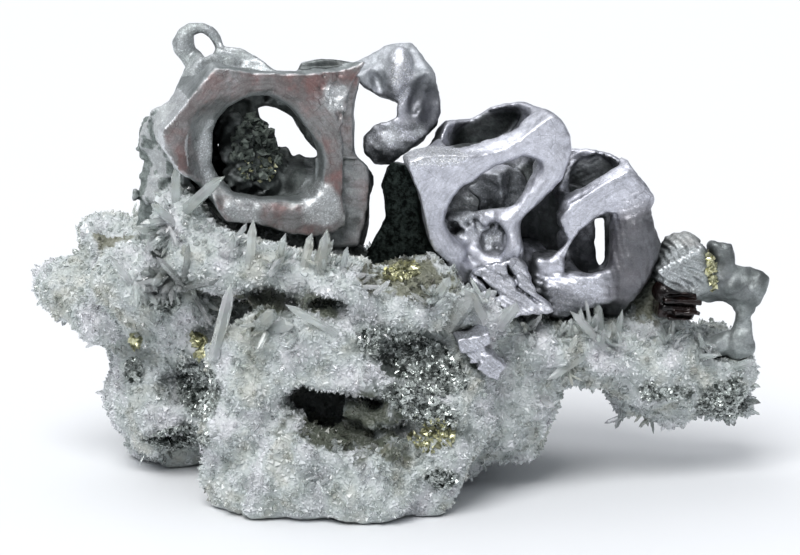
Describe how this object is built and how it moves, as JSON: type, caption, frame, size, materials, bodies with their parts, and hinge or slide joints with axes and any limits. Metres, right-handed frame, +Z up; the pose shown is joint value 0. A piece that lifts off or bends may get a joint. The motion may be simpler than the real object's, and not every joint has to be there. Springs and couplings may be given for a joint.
{
  "type": "skeletal galena specimen",
  "caption": "Hollow skeletal galena crystals grown on a spiky quartz matrix, with grains of sphalerite and chalcopyrite; rests on its flat foot.",
  "frame": {"origin": "on the flat foot of the quartz matrix, under the core that carries the galena", "axes": "+Z up; +X along the specimen, to the right seen from its front; -Y is the front"},
  "size_m": [0.0916, 0.0475, 0.0561],
  "materials": {
    "quartz": "small translucent needles",
    "galena_dark": "melted metallic faces with a brown tarnish",
    "galena": "melted metallic faces, striated at the edges",
    "sphalerite": "dark sparkling grains",
    "chalcopyrite": "brassy grains"
  },
  "bodies": {
    "root": {"quartz_matrix": "quartz", "galena_left_crystal": "galena_dark", "galena_hook": "galena", "galena_centre_crystal": "galena", "galena_right_crystal": "galena", "galena_lower_block": "galena", "galena_end_cluster": "galena", "galena_small_upper": "galena", "galena_small_lower": "galena", "sphalerite_end_crystals": "sphalerite", "sphalerite_front_grains": "sphalerite", "sphalerite_left_grains": "sphalerite", "chalcopyrite_left_grain": "chalcopyrite", "chalcopyrite_middle_grain": "chalcopyrite", "chalcopyrite_ledge_grain": "chalcopyrite", "chalcopyrite_cave_grains": "chalcopyrite", "chalcopyrite_end_grain": "chalcopyrite"}
  },
  "joints": []
}
